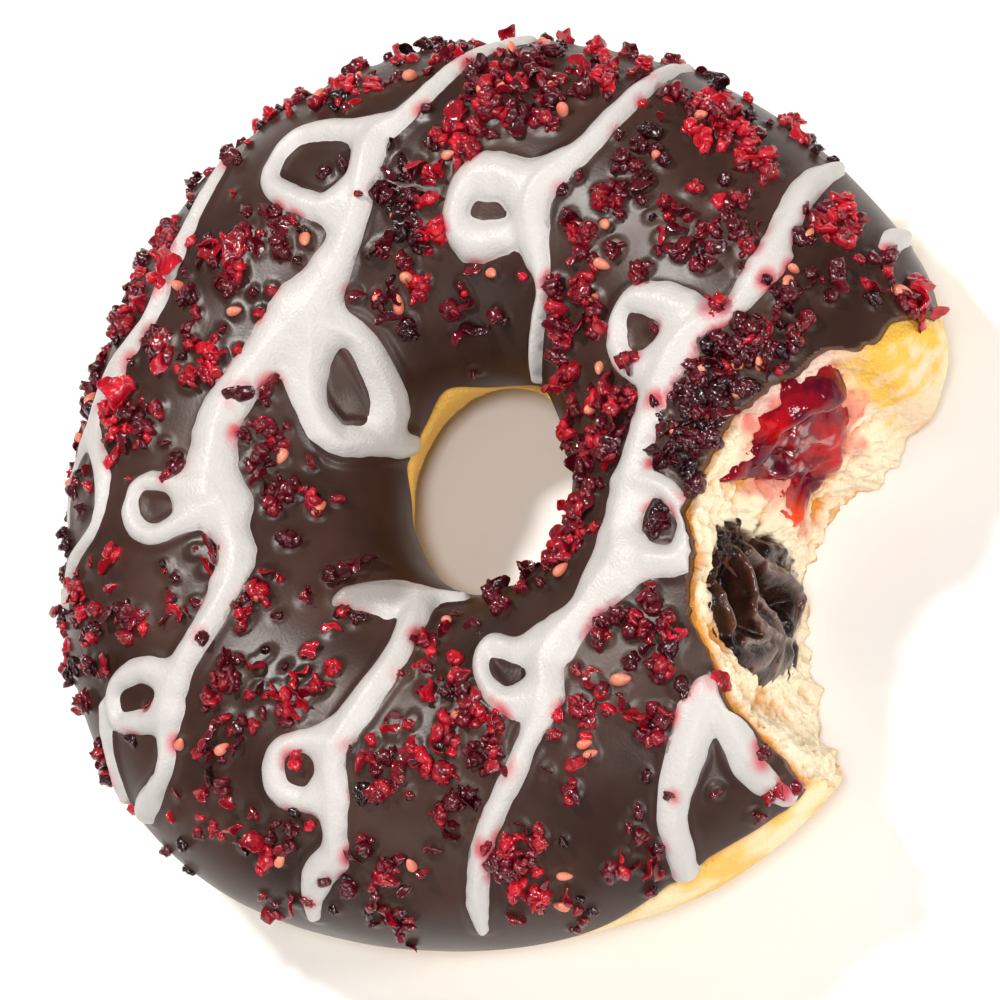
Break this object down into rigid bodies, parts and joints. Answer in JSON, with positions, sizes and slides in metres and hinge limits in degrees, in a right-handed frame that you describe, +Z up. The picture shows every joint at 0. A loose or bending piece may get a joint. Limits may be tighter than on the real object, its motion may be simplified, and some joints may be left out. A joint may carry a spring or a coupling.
{
  "type": "filled ring doughnut",
  "caption": "Ring doughnut with a bite out of it: fried dough, two fillings in the bite, chocolate glaze, white icing lines and dried raspberry bits.",
  "frame": {"origin": "middle of the footprint, on the surface that the doughnut stands on", "axes": "+Z up along the hole; the bite faces between +X and -Y"},
  "size_m": [0.0966, 0.095, 0.0302],
  "materials": {
    "dough": "fried golden crust, pale open crumb in the bite",
    "jam": "wet, glossy",
    "cream": "wet, glossy",
    "glaze": "satin set chocolate",
    "icing": "smooth white icing",
    "raspberry": "damp dried fruit",
    "raspberry_seed": "dry"
  },
  "bodies": {
    "root": {"dough": "dough", "raspberry_jam": "jam", "chocolate_cream": "cream", "glaze": "glaze"}
  },
  "joints": []
}
